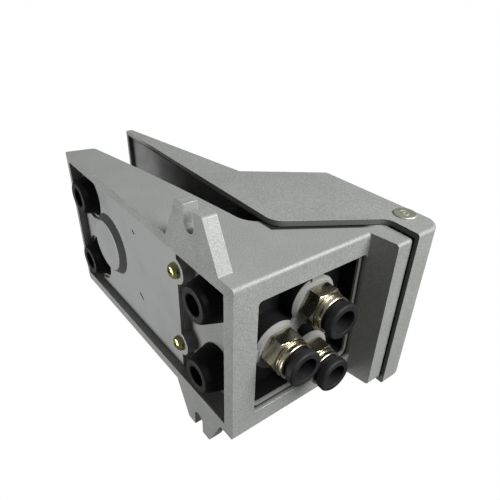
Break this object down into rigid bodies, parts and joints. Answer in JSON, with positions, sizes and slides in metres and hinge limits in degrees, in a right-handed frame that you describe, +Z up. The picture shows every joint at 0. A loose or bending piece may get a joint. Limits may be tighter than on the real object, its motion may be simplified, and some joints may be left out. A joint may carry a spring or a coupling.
{
  "type": "foot pedal air valve",
  "caption": "Foot pedal air valve: die-cast base with slotted ears and rubber feet, hinged sprung pedal over a spool valve, push-in tube fittings at the rear",
  "frame": {"origin": "middle of the floor area that the valve covers, at the bottom of the rubber feet", "axes": "+X towards the toe of the pedal, +Y towards the left flank seen from the rear, +Z up"},
  "size_m": [0.1732, 0.1184, 0.1005],
  "materials": {
    "cast_aluminium": "as-cast, fine sand texture, silver paint",
    "valve_casting": "as-cast, machined port faces",
    "black_anodised": "black anodised",
    "sheet_steel": "silver painted sheet",
    "yellow_zinc": "yellow zinc plated",
    "bright_zinc": "bright zinc plated",
    "foot_rubber": "matt black rubber",
    "seal_rubber": "smooth black rubber",
    "nickel_pin": "nickel plated steel",
    "spring_steel": "bright spring steel",
    "nickel_brass": "nickel plated brass",
    "collar_plastic": "black moulded plastic",
    "spool_aluminium": "turned and anodised",
    "grip_steel": "stainless sheet",
    "brass": "turned brass"
  },
  "bodies": {
    "base": {"base_casting": "cast_aluminium", "bottom_cover": "sheet_steel", "cover_screws": "yellow_zinc", "foot_rear_left": "foot_rubber", "foot_rear_right": "foot_rubber", "foot_toe_left": "foot_rubber", "foot_toe_right": "foot_rubber", "foot_screws": "bright_zinc", "foot_washers": "bright_zinc", "stop_buffers": "foot_rubber", "pedal_return_spring": "spring_steel", "port_frame": "valve_casting", "valve_block": "black_anodised", "block_screws": "bright_zinc", "spool_gland": "brass", "spool_plug": "brass", "spool_spring": "spring_steel", "outlet_a_fitting": "nickel_brass", "outlet_a_tube_seal": "seal_rubber", "outlet_a_grip_ring": "grip_steel", "supply_fitting": "nickel_brass", "supply_tube_seal": "seal_rubber", "supply_grip_ring": "grip_steel", "outlet_b_fitting": "nickel_brass", "outlet_b_tube_seal": "seal_rubber", "outlet_b_grip_ring": "grip_steel"},
    "pedal": {"pedal": "cast_aluminium", "hinge_pin": "nickel_pin", "hinge_clip": "spring_steel", "actuator_screw": "bright_zinc", "actuator_nut": "bright_zinc"},
    "spool": {"valve_spool": "spool_aluminium", "spool_seals": "seal_rubber"},
    "outlet_a_collar": {"outlet_a_release_collar": "collar_plastic"},
    "supply_collar": {"supply_release_collar": "collar_plastic"},
    "outlet_b_collar": {"outlet_b_release_collar": "collar_plastic"}
  },
  "joints": [
    {"name": "pedal_hinge", "type": "hinge", "parent": "base", "child": "pedal", "pos_m": [-0.0711, 0, 0.0935], "axis": [0, 1, 0], "range_deg": [0, 7], "stiffness_Nm_per_rad": 20, "springref_deg": -4.58, "deforming": ["pedal_return_spring"]},
    {"name": "spool_slide", "type": "slide", "parent": "base", "child": "spool", "axis": [0, 0, -1], "range_m": [0, 0.0026], "stiffness_N_per_m": 500, "springref_m": -0.004, "deforming": ["spool_spring"]},
    {"name": "outlet_a_collar_slide", "type": "slide", "parent": "base", "child": "outlet_a_collar", "axis": [1, 0, 0], "range_m": [0, 0.001], "stiffness_N_per_m": 800, "springref_m": -0.002},
    {"name": "supply_collar_slide", "type": "slide", "parent": "base", "child": "supply_collar", "axis": [1, 0, 0], "range_m": [0, 0.001], "stiffness_N_per_m": 800, "springref_m": -0.002},
    {"name": "outlet_b_collar_slide", "type": "slide", "parent": "base", "child": "outlet_b_collar", "axis": [1, 0, 0], "range_m": [0, 0.001], "stiffness_N_per_m": 800, "springref_m": -0.002}
  ],
  "couplings": [
    {"joint": "spool_slide", "follows": "pedal_hinge", "m_per_rad": 0.020463}
  ]
}
